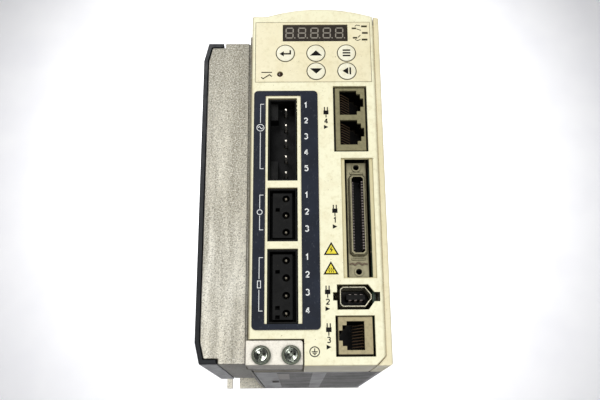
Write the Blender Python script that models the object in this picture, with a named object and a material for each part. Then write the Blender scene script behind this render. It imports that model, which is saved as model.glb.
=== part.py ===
"""Servo drive for cabinet mounting: a plastic electronics case on a die-cast heat sink with a side fan.

The finished objects are in metres, +Z up as mounted, the front face towards -Y, with the origin on the
mounting face. Every size below is in millimetres, in "drive" coordinates: x from the left edge of the front
cover, y backwards from the cover's front face, z up from the lowest face. shifted() moves them into the
final frame.
"""

import math

import bmesh
import bpy
from mathutils import Vector

MM = 0.001
GAP = 0.3  # clearance between pieces that touch

# Driving dimensions of the whole drive
CASE_WIDTH = 60.0  # electronics case, without the heat sink
SINK_WIDTH = 25.0  # heat sink and shroud, left of the case
CASE_HEIGHT = 163.0
DEPTH = 182.0  # front face to mounting face
COVER_DEPTH = 36.0
COVER_RIGHT = 57.0
COVER_CORNER = 4.1  # the cut corner at its lower right
WALL = 2.0
ARCH_LEFT, ARCH_RIGHT, ARCH_TOP = 7.0, 56.0, 166.8
PLATE_FRONT = 178.0  # mounting plate of the heat sink
HOUSING_BACK = PLATE_FRONT - GAP
SCREW_FRONT = -4.0  # front of the ground screws' heads, the foremost point

# Ground lug, bottom left of the face
LUG_RIGHT, LUG_TOP, LUG_DEPTH = 22.8, 10.5, 28.0
GROUND_SCREW_X = (5.5, 17.9)
GROUND_SCREW_Z = 4.4

# Keypad
KEY_COLUMNS = (15.6, 29.9, 44.2)
KEY_ROWS = (143.2, 133.9)
KEYS = {
    "key_enter": (KEY_COLUMNS[0], KEY_ROWS[0]),
    "key_up": (KEY_COLUMNS[1], KEY_ROWS[0]),
    "key_mode": (KEY_COLUMNS[2], KEY_ROWS[0]),
    "key_down": (KEY_COLUMNS[1], KEY_ROWS[1]),
    "key_shift": (KEY_COLUMNS[2], KEY_ROWS[1]),
}
KEY_RADIUS = 4.1
KEY_HOLE_RADIUS = 4.35
OVERLAY_X, OVERLAY_Z = (1.6, 55.6), (128.4, 159.6)
WINDOW_X, WINDOW_Z = (14.4, 45.0), (149.5, 158.3)
LAMP = (13.1, 132.5)
LAMP_RADIUS = 1.1

# Power terminals: a header behind each opening in the cover, and one pin per pole
PIN_PITCH = 7.62
HEADER_X = (7.7, 20.9)
HEADER_FRONT, HEADER_FLOOR, HEADER_BACK = 1.0, 10.5, 14.0
CORE_X, CORE_FRONT, POCKET_RADIUS, POCKET_FLOOR = (9.9, 18.6), 2.2, 1.6, 8.0
PIN_X, PIN_TIP, PIN_BEND, PIN_SIZE = 15.8, 2.5, 16.5, 1.0
HEADERS = {  # name: (lowest z, highest z, poles)
    "mains": (80.5, 120.3, 5),
    "motor": (52.8, 77.2, 3),
    "braking": (17.2, 49.5, 4),
}
LATCH_X, LATCH_HEIGHT = (11.2, 13.0), 1.6
LATCHES = {"motor": (67.6,), "braking": (39.8, 24.3, 20.3)}  # middles of the small latch holes in each core
MAINS_RIBS = ((81.7, 91.0), (111.0, 119.1))
LABEL_X, LABEL_Z, LABEL_CORNER = (1.3, 30.3), (14.7, 123.8), 1.8

# Signal connectors
CAN_OPENING = ((37.5, 52.9), (94.1, 126.3))
CAN_BODY = ((38.0, 52.1), (94.6, 125.8))
CAN_CENTRES = (118.5, 103.9)
COMM_OPENING = ((36.5, 53.0), (3.6, 20.6))
COMM_BODY = ((37.2, 52.1), (4.3, 20.3))
COMM_CENTRE = 12.4
JACK_FRONT, JACK_BACK, JACK_FLOOR = 1.2, 17.0, 14.0
IO_RECESS = ((40.4, 54.6), (36.5, 91.0))
IO_OPENING = ((42.0, 53.0), (37.0, 90.8))
IO_FLANGE = ((42.8, 51.9), (37.6, 90.4))
IO_SHELL = ((43.8, 51.2), (47.0, 83.9))
IO_SLOT = ((45.1, 50.1), (48.2, 82.7))
IO_LATCH_Z = (40.1, 87.9)
ENCODER_SHELL = [
    (39.8, 33.0), (49.4, 33.0), (52.1, 29.6), (52.1, 27.8),
    (49.4, 24.4), (39.8, 24.4), (38.6, 25.6), (38.6, 31.8),
]
ENCODER_OPENING = [
    (37.4, 33.8), (50.7, 33.8), (53.2, 30.5), (55.6, 30.5), (55.6, 26.6), (53.2, 26.6), (50.7, 23.1),
    (37.4, 23.1), (37.4, 27.0), (35.7, 27.0), (35.7, 30.5), (37.4, 30.5),
]

# Boards inside
CONTROL_BOARD_X = (53.0, 54.6)
POWER_BOARD_X = (6.0, 7.6)
DISPLAY_BOARD_Y = (8.0, 9.6)
SWITCH_TOP = 4.9  # front of the switches on it

# Heat sink
SINK_Z = (2.4, 159.5)
SINK_WALL_X, SINK_WALL_Z, SINK_WALL_FRONT = (-1.9, -0.3), (0.3, 162.7), 19.0
SINK_FRONT, SINK_FRONT_BACK = 20.0, 23.0
GROOVE_WIDTH, GROOVE_DEPTH = 0.6, 1.2
FLOOR_BACK, FLOOR_THICKNESS = 113.0, 2.0  # the casting's lower end wall
SHROUD_BACK = 121.0
SHROUD_WALL = 2.2
SHROUD_LIP_X = -15.2
SHROUD_CORNER = (2.2, 9.5)  # chamfer of its outer corners, across and up
SHORT_FIN_TIP, LONG_FIN_TIP = -12.0, -22.4
FIN_ROOT, FIN_TIP = 2.4, 1.4
SHORT_FIN_Y = [33.0 + 9.6 * i for i in range(9)]
LONG_FIN_Y = [125.0 + 10.4 * i for i in range(5)]
LONG_FIN_Z = (14.0, 148.0)  # shorter than the others, clear of the mounting slots
PLATE_LEFT = -24.4
SLOT_X, SLOT_WIDTH, SLOT_DEPTH = -18.7, 4.6, 8.6

# Fan
FAN_Y, FAN_Z, FAN_SIDE = 75.0, 81.0, 60.0
FAN_X = (-22.5, -12.5)
FAN_BORE, ROTOR_RADIUS, HUB_RADIUS = 28.0, 26.6, 13.0
FAN_HOLE_PITCH = 50.0
ROTOR_X = (-21.6, -14.3)
BLADES = 7
HOUSING_SCREWS = ((30.0, 20.0), (30.0, 143.0))
SCREW_HOLE, HEAD_HOLE = 1.9, 3.1  # radii of the holes for the small screws


def shifted(x, y, z):
    """A point in drive coordinates, in the final frame: its origin is the middle of the mounting face."""
    middle_x, middle_z = (CASE_WIDTH - SINK_WIDTH) / 2, CASE_HEIGHT / 2
    return Vector((x - middle_x, y - DEPTH, z - middle_z)) * MM


def material(name, colour, roughness, metallic=0.0):
    made = bpy.data.materials.new(name)
    made.use_nodes = True
    shader = made.node_tree.nodes["Principled BSDF"]
    shader.inputs["Base Color"].default_value = (*colour, 1.0)
    shader.inputs["Roughness"].default_value = roughness
    shader.inputs["Metallic"].default_value = metallic
    return made


def object_of(name, bm, finish=None, round_shape=False):
    """The scene object of a bmesh, with its faces pointing out."""
    bmesh.ops.recalc_face_normals(bm, faces=bm.faces)
    mesh = bpy.data.meshes.new(name)
    bm.to_mesh(mesh)
    bm.free()
    made = bpy.data.objects.new(name, mesh)
    bpy.context.scene.collection.objects.link(made)
    if finish:
        mesh.materials.append(finish)
    if round_shape:
        mesh.shade_smooth()
        mesh.set_sharp_from_angle(angle=math.radians(35))
    return made


def add_prism(bm, outline, low, high, axis):
    """Adds a prism along axis to bm. outline holds the other two coordinates, in x, y, z order."""
    place = {
        "X": lambda a, b, t: shifted(t, a, b),
        "Y": lambda a, b, t: shifted(a, t, b),
        "Z": lambda a, b, t: shifted(a, b, t),
    }[axis]
    rings = [[bm.verts.new(place(a, b, t)) for a, b in outline] for t in (low, high)]
    bm.faces.new(rings[0])
    bm.faces.new(reversed(rings[1]))
    for i in range(len(outline)):
        j = (i + 1) % len(outline)
        bm.faces.new((rings[0][i], rings[1][i], rings[1][j], rings[0][j]))


def prism(name, outline, low, high, axis, finish=None, round_shape=False):
    bm = bmesh.new()
    add_prism(bm, outline, low, high, axis)
    return object_of(name, bm, finish, round_shape)


def rectangle(first, second):
    return [(first[0], second[0]), (first[1], second[0]), (first[1], second[1]), (first[0], second[1])]


def box(name, x, y, z, finish=None):
    return prism(name, rectangle(x, z), y[0], y[1], "Y", finish)


def boxes(name, ranges):
    """One object of several boxes, each given as its x, y and z ranges, that a Boolean cuts or adds."""
    bm = bmesh.new()
    for x, y, z in ranges:
        add_prism(bm, rectangle(x, z), y[0], y[1], "Y")
    return object_of(name, bm)


def rounded(first, second, radius, steps=4):
    """A rectangle with round corners."""
    corners = [
        (first[1] - radius, second[1] - radius, 0), (first[0] + radius, second[1] - radius, 1),
        (first[0] + radius, second[0] + radius, 2), (first[1] - radius, second[0] + radius, 3),
    ]
    outline = []
    for a, b, quarter in corners:
        turns = [math.pi / 2 * (quarter + i / steps) for i in range(steps + 1)]
        outline += [(a + radius * math.cos(t), b + radius * math.sin(t)) for t in turns]
    return outline


def circle(a, b, radius, segments=24):
    turns = [math.tau * i / segments for i in range(segments)]
    return [(a + radius * math.cos(t), b + radius * math.sin(t)) for t in turns]


def cylinder(name, a, b, radius, low, high, axis, finish=None, segments=24):
    return prism(name, circle(a, b, radius, segments), low, high, axis, finish, round_shape=True)


def inset(outline, distance):
    """The outline moved inwards by distance. Its corners run one way round, either way."""
    area = sum(a[0] * b[1] - b[0] * a[1] for a, b in zip(outline, outline[1:] + outline[:1]))
    side = 1 if area > 0 else -1
    moved = []
    for i, here in enumerate(outline):
        before = Vector(here) - Vector(outline[i - 1])
        after = Vector(outline[(i + 1) % len(outline)]) - Vector(here)
        normals = [Vector((-d.y, d.x)).normalized() * side for d in (before, after)]
        bisector = normals[0] + normals[1]
        moved.append(tuple(Vector(here) + bisector * (2 * distance / bisector.length_squared)))
    return moved


def combine(target, operation, tools):
    """Cuts tools from target or joins them to it, with one Boolean, and hides them."""
    group = bpy.data.collections.new(f"{target.name}_{operation.lower()}")
    bpy.context.scene.collection.children.link(group)
    for tool in tools:
        for owner in list(tool.users_collection):
            owner.objects.unlink(tool)
        group.objects.link(tool)
        tool.hide_render = True
        tool.display_type = "WIRE"
    boolean = target.modifiers.new(operation.title(), "BOOLEAN")
    boolean.operation = operation
    boolean.operand_type = "COLLECTION"
    boolean.collection = group
    boolean.solver = "EXACT"
    return target


def cut(target, *tools):
    return combine(target, "DIFFERENCE", tools)


def join(target, *tools):
    return combine(target, "UNION", tools)


CREAM = material("cream_plastic", (0.83, 0.76, 0.55), 0.45)
ALUMINIUM = material("cast_aluminium", (0.56, 0.53, 0.46), 0.55, 0.6)
BLACK = material("black_plastic", (0.02, 0.021, 0.024), 0.5)
NAVY = material("navy_label", (0.03, 0.04, 0.075), 0.4)
SMOKED = material("smoked_window", (0.03, 0.026, 0.022), 0.15)
STEEL = material("zinc_plated_steel", (0.6, 0.6, 0.56), 0.3, 1.0)
GREY = material("grey_plastic", (0.4, 0.37, 0.27), 0.5)
BRASS = material("tinned_contacts", (0.7, 0.68, 0.6), 0.3, 1.0)
BOARD = material("green_board", (0.03, 0.13, 0.06), 0.4)
SLEEVE = material("capacitor_sleeve", (0.03, 0.04, 0.12), 0.4)


def cover_outline():
    """The cover's front outline: a notch for the ground lug, one cut corner, and a top that arches up."""
    half, rise = (ARCH_RIGHT - ARCH_LEFT) / 2, ARCH_TOP - CASE_HEIGHT
    radius = (half**2 + rise**2) / (2 * rise)
    reach, centre = math.asin(half / radius), (ARCH_LEFT + ARCH_RIGHT) / 2
    steps = 12
    arch = []
    for i in range(steps + 1):
        angle = reach * (1 - 2 * i / steps)
        arch.append((centre + radius * math.sin(angle), ARCH_TOP - radius + radius * math.cos(angle)))
    return [
        (0.0, LUG_TOP + 0.5), (LUG_RIGHT + 0.5, LUG_TOP + 0.5), (LUG_RIGHT + 0.5, 0.0),
        (COVER_RIGHT - COVER_CORNER, 0.0), (COVER_RIGHT, COVER_CORNER),
        (COVER_RIGHT, CASE_HEIGHT), *arch, (0.0, CASE_HEIGHT),
    ]


def front_cover():
    outline = cover_outline()
    cover = prism("front_cover", outline, 0.0, COVER_DEPTH, "Y", CREAM)
    through = (-1.0, WALL + 1.0)
    tools = [
        prism("cover_hollow", inset(outline, WALL), WALL, COVER_DEPTH + 1.0, "Y"),
        box("cut_overlay", OVERLAY_X, (-1.0, 2 * GAP), OVERLAY_Z),
        box("cut_window", WINDOW_X, through, WINDOW_Z),
        box("cut_can", CAN_OPENING[0], through, CAN_OPENING[1]),
        box("cut_comm", COMM_OPENING[0], through, COMM_OPENING[1]),
        box("cut_io_recess", IO_RECESS[0], (-1.0, 1.0), IO_RECESS[1]),
        box("cut_io", IO_OPENING[0], through, IO_OPENING[1]),
        prism("cut_encoder", ENCODER_OPENING, *through, "Y"),
        cylinder("cut_lamp", *LAMP, LAMP_RADIUS + GAP, *through, "Y", segments=16),
    ]
    for name, (low, high, _) in HEADERS.items():
        tools.append(box(f"cut_{name}", HEADER_X, through, (low, high)))
    tools += [cylinder(f"cut_{name}", *at, KEY_HOLE_RADIUS, *through, "Y") for name, at in KEYS.items()]
    cut(cover, *tools)


def vent_slots(z):
    """Rows of slots across a wall that crosses z: a narrow bank on the left and a wide one on the right."""
    pitch, width, first, count = 5.9, 2.8, 42.0, 22
    banks = ((11.0, 27.5), (34.2, 57.3))
    starts = [first + pitch * i for i in range(count)]
    return [(bank, (start, start + width), z) for bank in banks for start in starts]


def housing():
    """Top, right, bottom and back walls in one shell. The heat sink's wall closes its left side."""
    inner_right, top = CASE_WIDTH - WALL, CASE_HEIGHT
    back_y = (HOUSING_BACK - WALL, HOUSING_BACK)
    profile = [
        (0.3, 0.0), (CASE_WIDTH, 0.0), (CASE_WIDTH, top), (0.3, top),
        (0.3, top - WALL), (inner_right, top - WALL), (inner_right, WALL), (0.3, WALL),
    ]
    shell = prism("housing_shell", profile, COVER_DEPTH + GAP, HOUSING_BACK, "Y", CREAM)
    rim_left, rim_front = COVER_RIGHT + 0.4, 1.2
    rim = [
        (COVER_RIGHT - COVER_CORNER + 0.7, 0.0), (CASE_WIDTH, 0.0), (CASE_WIDTH, CASE_HEIGHT - 0.6),
        (rim_left, CASE_HEIGHT), (rim_left, COVER_CORNER - 0.1),
    ]
    join(
        shell,
        prism("housing_rim", rim, rim_front, COVER_DEPTH + 5.0, "Y"),
        box("housing_back", (0.3, CASE_WIDTH - 1.0), back_y, (1.0, CASE_HEIGHT - 1.0)),
    )
    behind_rim = box("cut_behind_rim", (20.0, inner_right), (COVER_DEPTH + 2.0, 60.0), (WALL, 30.0))
    slots = boxes("cut_vents", vent_slots((-1.0, WALL + 1)) + vent_slots((top - WALL - 1, top + 1)))
    keyhole = box("cut_latch", (6.8, 10.4), (104.0, 108.0), (-1.0, WALL + 1))
    holes = [
        cylinder(f"cut_back_screw_{i}", x, z, SCREW_HOLE, back_y[0] - 1, back_y[1] + 1, "Y", segments=16)
        for i, (x, z) in enumerate(HOUSING_SCREWS)
    ]
    cut(shell, behind_rim, slots, keyhole, *holes)


def comb(fins, reach):
    """A row of fins on a strip, seen from above. The strip's inner half is buried in the sink's wall."""
    left, buried = SINK_WALL_X[0], sum(SINK_WALL_X) / 2
    root, tip = FIN_ROOT / 2, FIN_TIP / 2
    first, last = fins[0] - 4.0, fins[-1] + 4.0
    outline = [(left, first), (buried, first), (buried, last), (left, last)]
    for y in reversed(fins):
        outline += [(left, y + root), (reach, y + tip), (reach, y - tip), (left, y - root)]
    return outline


def sink_front_outline():
    """The heat sink's front wall, which fills the shroud's mouth."""
    outline = inset(shroud_outline(), SHROUD_WALL + GAP)
    buried = SINK_WALL_X[0] + 0.6
    return [(buried, outline[0][1]), *outline[1:-1], (buried, outline[-1][1])]


def mounting_slot(name, mouth):
    """Cuts a slot into the plate from its lower or upper edge, with a round end."""
    half = SLOT_WIDTH / 2
    inwards = 1 if mouth < CASE_HEIGHT / 2 else -1
    centre = mouth + inwards * (SLOT_DEPTH - half)
    steps = 8
    bend = [math.pi * i / steps for i in range(steps + 1)]
    outline = [(SLOT_X + half * math.cos(t), centre + inwards * half * math.sin(t)) for t in bend]
    outside = mouth - inwards
    outline += [(SLOT_X - half, outside), (SLOT_X + half, outside)]
    return prism(name, outline, PLATE_FRONT - 1, DEPTH + 1, "Y")


def heat_sink():
    """One casting: plate, wall, front wall, fins and ground lug."""
    sink = box("heat_sink", (PLATE_LEFT, CASE_WIDTH), (PLATE_FRONT, DEPTH), (0.0, CASE_HEIGHT), ALUMINIUM)
    low, front_edge = SINK_Z[0], (SHROUD_LIP_X + 2.5 * GAP, SINK_WALL_X[0] + 0.5)
    wall_y = (SINK_WALL_FRONT, PLATE_FRONT + 1.0)
    join(
        sink,
        box("sink_wall", SINK_WALL_X, wall_y, SINK_WALL_Z),
        box("sink_lug", (-1.2, LUG_RIGHT), (0.0, LUG_DEPTH), (GAP, LUG_TOP)),
        prism("sink_front", sink_front_outline(), SINK_FRONT, SINK_FRONT_BACK, "Y"),
        box("sink_front_edge", front_edge, (SINK_FRONT, SINK_FRONT_BACK), SINK_Z),
        box("sink_floor", front_edge, (SINK_FRONT + 1.0, FLOOR_BACK), (low, low + FLOOR_THICKNESS)),
        prism("sink_fins", comb(SHORT_FIN_Y, SHORT_FIN_TIP), *SINK_Z, "Z"),
        prism("sink_rear_fins", comb(LONG_FIN_Y, LONG_FIN_TIP), *LONG_FIN_Z, "Z"),
    )
    groove_x = (SINK_WALL_X[0] - GROOVE_WIDTH, SINK_WALL_X[0])
    tools = [
        box("cut_groove", groove_x, (SINK_FRONT - 1.0, SINK_FRONT + GROOVE_DEPTH), (0.0, CASE_HEIGHT)),
        mounting_slot("cut_slot_low", 0.0),
        mounting_slot("cut_slot_high", CASE_HEIGHT),
    ]
    for i, x in enumerate(GROUND_SCREW_X):
        tools.append(cylinder(f"cut_ground_{i}", x, GROUND_SCREW_Z, 2.3, -1.0, 12.0, "Y", segments=16))
    for i, at in enumerate(HOUSING_SCREWS):
        shank, head = (PLATE_FRONT - 1, DEPTH - 1), (DEPTH - 2.2, DEPTH + 1)
        tools.append(cylinder(f"cut_plate_hole_{i}", *at, SCREW_HOLE, *shank, "Y", segments=16))
        tools.append(cylinder(f"cut_plate_head_{i}", *at, HEAD_HOLE, *head, "Y", segments=16))
    cut(sink, *tools)


def shroud_outline():
    left, (across, up), (low, high) = -SINK_WIDTH, SHROUD_CORNER, SINK_Z
    return [
        (SHROUD_LIP_X, high), (left + across, high), (left, high - up),
        (left, low + up), (left + across, low), (SHROUD_LIP_X, low),
    ]


def fan_corners():
    half = FAN_HOLE_PITCH / 2
    return [(FAN_Y + a, FAN_Z + b) for a in (-half, half) for b in (-half, half)]


def fan_shroud():
    """The black cover over the fins: a channel with a moulded round grille in front of the fan."""
    outer = shroud_outline()
    inner = inset(outer, SHROUD_WALL)
    inner[0], inner[-1] = (SHROUD_LIP_X, inner[0][1]), (SHROUD_LIP_X, inner[-1][1])
    shroud = prism("fan_shroud", outer + inner[::-1], SINK_FRONT, SHROUD_BACK, "Y", BLACK)
    left = -SINK_WIDTH
    wall = (left - 1, left + SHROUD_WALL + 1)
    tools = [cylinder("cut_intake", FAN_Y, FAN_Z, 27.0, *wall, "X", segments=32)]
    for i, at in enumerate(fan_corners()):
        tools.append(cylinder(f"cut_fan_screw_{i}", *at, 1.8, *wall, "X", segments=12))
        tools.append(cylinder(f"cut_fan_head_{i}", *at, HEAD_HOLE, wall[0], left + 1.6, "X", segments=16))
    cut(shroud, *tools)
    arm, reach = 0.9, 27.6
    across, along = (FAN_Y - arm, FAN_Y + arm), (FAN_Y - reach, FAN_Y + reach)
    bars = [
        box("grille_upright", (left + 0.4, left + 1.8), across, (FAN_Z - reach, FAN_Z + reach)),
        box("grille_level", (left + 0.5, left + 1.7), along, (FAN_Z - arm, FAN_Z + arm)),
        cylinder("grille_hub", FAN_Y, FAN_Z, 7.0, left + 0.2, left + 1.9, "X", segments=24),
    ]
    for i, radius in enumerate((13.5, 20.0)):
        low, high = left + 0.3, left + 1.75 + 0.1 * i
        bars.append(ring(f"grille_ring_{i}", FAN_Y, FAN_Z, radius, radius + 1.5, low, high, "X", 32))
    join(shroud, *bars)


def ring(name, a, b, inner, outer, low, high, axis, segments, finish=None):
    """A flat ring, closed by construction."""
    bm = bmesh.new()
    place = {"X": lambda p, q, t: shifted(t, p, q), "Y": lambda p, q, t: shifted(p, t, q)}[axis]
    corners = ((inner, low), (outer, low), (outer, high), (inner, high))
    loops = [[bm.verts.new(place(*point, t)) for point in circle(a, b, r, segments)] for r, t in corners]
    for k in range(4):
        here, there = loops[k], loops[(k + 1) % 4]
        for i in range(segments):
            j = (i + 1) % segments
            bm.faces.new((here[i], here[j], there[j], there[i]))
    return object_of(name, bm, finish, round_shape=True)


def fan_frame():
    half, reach, arm = FAN_SIDE / 2, 28.6, 1.5
    front, back = FAN_X
    frame = box("fan_frame", FAN_X, (FAN_Y - half, FAN_Y + half), (FAN_Z - half, FAN_Z + half), BLACK)
    through = (front - 1, back + 1)
    tools = [cylinder("cut_fan_bore", FAN_Y, FAN_Z, FAN_BORE, *through, "X", segments=36)]
    for i, at in enumerate(fan_corners()):
        tools.append(cylinder(f"cut_frame_hole_{i}", *at, SCREW_HOLE, *through, "X", segments=12))
    cut(frame, *tools)
    upright = ((FAN_Y - arm, FAN_Y + arm), (FAN_Z - reach, FAN_Z + reach))
    level = ((FAN_Y - reach, FAN_Y + reach), (FAN_Z - arm, FAN_Z + arm))
    join(
        frame,
        box("strut_upright", (back - 1.3, back - 0.1), *upright),
        box("strut_level", (back - 1.2, back - 0.2), *level),
        cylinder("stator_base", FAN_Y, FAN_Z, HUB_RADIUS - 0.5, back - 1.4, back - 0.05, "X"),
        cylinder("stator_post", FAN_Y, FAN_Z, 2.5, ROTOR_X[0] + 2.8, back - 0.5, "X", segments=16),
    )


def blade(turn):
    """One fan blade: a plate from the hub to the rim, twisted less towards its tip."""
    bm = bmesh.new()
    sections, thickness = 4, 1.1
    rings = []
    for k in range(sections):
        radius = HUB_RADIUS - 1.0 + (ROTOR_RADIUS - HUB_RADIUS + 1.0) * k / (sections - 1)
        sweep = math.radians(44 - 6 * k) * 0.5
        lead = math.radians(6 * k)
        points = []
        for x, side in ((ROTOR_X[0] + 0.4, -1), (ROTOR_X[1] - 0.4, 1)):
            angle = turn + lead + side * sweep
            half = side * thickness / 2 / radius
            points += [(x, angle + half), (x, angle - half)]
        places = [(x, FAN_Y + radius * math.cos(a), FAN_Z + radius * math.sin(a)) for x, a in points]
        rings.append([bm.verts.new(shifted(*place)) for place in places])
    for here, there in zip(rings, rings[1:]):
        for i in range(4):
            j = (i + 1) % 4
            bm.faces.new((here[i], here[j], there[j], there[i]))
    bm.faces.new(rings[0])
    bm.faces.new(reversed(rings[-1]))
    bmesh.ops.triangulate(bm, faces=bm.faces)
    return object_of(f"blade_{round(math.degrees(turn))}", bm)


def fan_rotor():
    rotor = cylinder("fan_rotor", FAN_Y, FAN_Z, HUB_RADIUS, *ROTOR_X, "X", BLACK, segments=28)
    join(rotor, *[blade(math.tau * i / BLADES) for i in range(BLADES)])
    cut(rotor, cylinder("cut_rotor_bore", FAN_Y, FAN_Z, 3.1, -19.4, ROTOR_X[1] + 1, "X", segments=16))


def screw(name, at, head_radius, shank_radius, stations, axis, finish=STEEL):
    """A cross-head screw along axis. stations are the head's top, the head's seat and the shank's end."""
    top, seat, end = stations
    inwards = 1 if end > top else -1
    made = cylinder(name, *at, head_radius, *sorted((top, seat)), axis, finish, segments=20)
    shank = sorted((seat - 0.5 * inwards, end))
    join(made, cylinder(f"{name}_shank", *at, shank_radius, *shank, axis, segments=12))
    depth = sorted((top - inwards, top + inwards))
    narrow, wide = 0.4, head_radius * 0.55
    arms = []
    for i, (a, b) in enumerate(((narrow, wide), (wide, narrow))):
        outline = rectangle((at[0] - a, at[0] + a), (at[1] - b, at[1] + b))
        arms.append(prism(f"{name}_cross_{i}", outline, *depth, axis))
    cut(made, *arms)


def screws():
    for side, x in zip(("left", "right"), GROUND_SCREW_X):
        at = (x, GROUND_SCREW_Z)
        screw(f"ground_screw_{side}", at, 3.5, 1.9, (SCREW_FRONT, -1.4, 10.0), "Y")
        ring(f"ground_washer_{side}", *at, 2.2, 3.8, -1.1, -GAP, "Y", 20, STEEL)
    left = -SINK_WIDTH
    for i, at in enumerate(fan_corners()):
        screw(f"fan_screw_{i + 1}", at, 2.7, 1.4, (left + 0.1, left + 1.3, FAN_X[1] - 0.1), "X")
    for i, at in enumerate(HOUSING_SCREWS):
        screw(f"housing_screw_{i + 1}", at, 2.7, 1.5, (DEPTH - 0.2, DEPTH - 1.9, 173.0), "Y")


def keypad():
    edge_x, edge_z = ((low + 0.15, high - 0.15) for low, high in (OVERLAY_X, OVERLAY_Z))
    overlay = box("keypad_overlay", edge_x, (0.0, GAP), edge_z, CREAM)
    through = (-1.0, 1.0)
    tools = [cylinder(f"overlay_{name}", *at, KEY_HOLE_RADIUS, *through, "Y") for name, at in KEYS.items()]
    tools.append(box("overlay_window", WINDOW_X, through, WINDOW_Z))
    tools.append(cylinder("overlay_lamp", *LAMP, LAMP_RADIUS + GAP, *through, "Y", segments=16))
    cut(overlay, *tools)
    for name, at in KEYS.items():
        key = cylinder(name, *at, KEY_RADIUS, -0.3, 2.4, "Y", CREAM)
        join(
            key,
            cylinder(f"{name}_flange", *at, 4.5, WALL + GAP, 3.0, "Y"),
            cylinder(f"{name}_stem", *at, 1.4, 2.6, SWITCH_TOP - 0.5, "Y", segments=12),
        )
    window_x, window_z = ((low + GAP, high - GAP) for low, high in (WINDOW_X, WINDOW_Z))
    box("display_window", window_x, (0.1, 1.0), window_z, SMOKED)
    box("display_module", window_x, (1.3, DISPLAY_BOARD_Y[0] - GAP), window_z, BLACK)
    cylinder("charge_lamp", *LAMP, LAMP_RADIUS, 0.3, DISPLAY_BOARD_Y[0] - GAP, "Y", SMOKED, segments=12)
    board = box("display_board", (3.0, 51.5), DISPLAY_BOARD_Y, (127.2, 160.6), BOARD)
    half, switch_y = 3.0, (SWITCH_TOP, DISPLAY_BOARD_Y[0] + 0.5)
    switches = []
    for name, (x, z) in KEYS.items():
        switches.append(box(f"switch_{name}", (x - half, x + half), switch_y, (z - half, z + half)))
    join(board, *switches)


def headers():
    """The mains header is an open socket. A core with a pocket round each pin fills the others."""
    for name, (low, high, poles) in HEADERS.items():
        body_x, body_z = (HEADER_X[0] + GAP, HEADER_X[1] - GAP), (low + GAP, high - GAP)
        body = box(f"{name}_header", body_x, (HEADER_FRONT, HEADER_BACK), body_z, BLACK)
        wall = 0.7
        socket_x, socket_z = ((start + wall, end - wall) for start, end in (body_x, body_z))
        cut(body, box(f"{name}_socket", socket_x, (HEADER_FRONT - 1, HEADER_FLOOR), socket_z))
        pins_z = [(low + high) / 2 + PIN_PITCH * ((poles - 1) / 2 - i) for i in range(poles)]
        holes = []
        if name == "mains":
            ribs = [
                box(f"mains_rib_{i}", (body_x[0] + 0.1, 12.3), (4.0, HEADER_FLOOR + 1), z)
                for i, z in enumerate(MAINS_RIBS)
            ]
            join(body, *ribs)
        else:
            core_z = (low + 2.0, high - 2.0)
            join(body, box(f"{name}_core", CORE_X, (CORE_FRONT, HEADER_FLOOR + 1), core_z))
            for i, z in enumerate(pins_z):
                pocket = (POCKET_RADIUS, CORE_FRONT - 1, POCKET_FLOOR)
                holes.append(cylinder(f"{name}_pocket_{i}", PIN_X, z, *pocket, "Y", segments=14))
            for i, z in enumerate(LATCHES[name]):
                latch_z = (z - LATCH_HEIGHT / 2, z + LATCH_HEIGHT / 2)
                holes.append(box(f"{name}_latch_{i}", LATCH_X, (CORE_FRONT - 1, POCKET_FLOOR), latch_z))
        half = PIN_SIZE / 2 + GAP
        for i, z in enumerate(pins_z):
            through = (CORE_FRONT, HEADER_BACK + 1)
            side = (PIN_X - half, PIN_X + half)
            holes.append(box(f"{name}_pin_hole_{i}", side, through, (z - half, z + half)))
            pin(f"{name}_pin_{i + 1}", z)
        cut(body, *holes)


def pin(name, z):
    """A square pin that runs back through its header and turns to the power board."""
    half, foot = PIN_SIZE / 2, POWER_BOARD_X[1] + GAP
    elbow = [
        (PIN_X - half, PIN_TIP), (PIN_X + half, PIN_TIP), (PIN_X + half, PIN_BEND + half),
        (foot, PIN_BEND + half), (foot, PIN_BEND - half), (PIN_X - half, PIN_BEND - half),
    ]
    prism(name, elbow, z - half, z + half, "Z", BRASS)


def jack(name, body, centres, contact_side, finish):
    """A modular jack housing. Each cavity steps twice from the contacts' side to the plug's latch."""
    (left, right), z = body
    made = box(name, (left, right), (JACK_FRONT, JACK_BACK), z, finish)
    depth = (0.0, JACK_FLOOR)
    tools = []
    for i, centre in enumerate(centres):
        if contact_side == "left":
            edges = ((left + 2.5, left + 10.3), (left + 9.8, left + 12.0), (left + 11.5, left + 13.4))
        else:
            edges = ((right - 10.9, right - 3.5), (right - 12.7, right - 10.4), (right - 14.2, right - 12.2))
        for k, (x, half) in enumerate(zip(edges, (6.0, 4.3, 2.1))):
            tools.append(box(f"{name}_cavity_{i}_{k}", x, depth, (centre - half, centre + half)))
    cut(made, *tools)


def connectors():
    jack("can_jack", CAN_BODY, CAN_CENTRES, "left", GREY)
    jack("comm_jack", COMM_BODY, (COMM_CENTRE,), "right", GREY)
    io_connector()
    encoder_connector()


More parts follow.
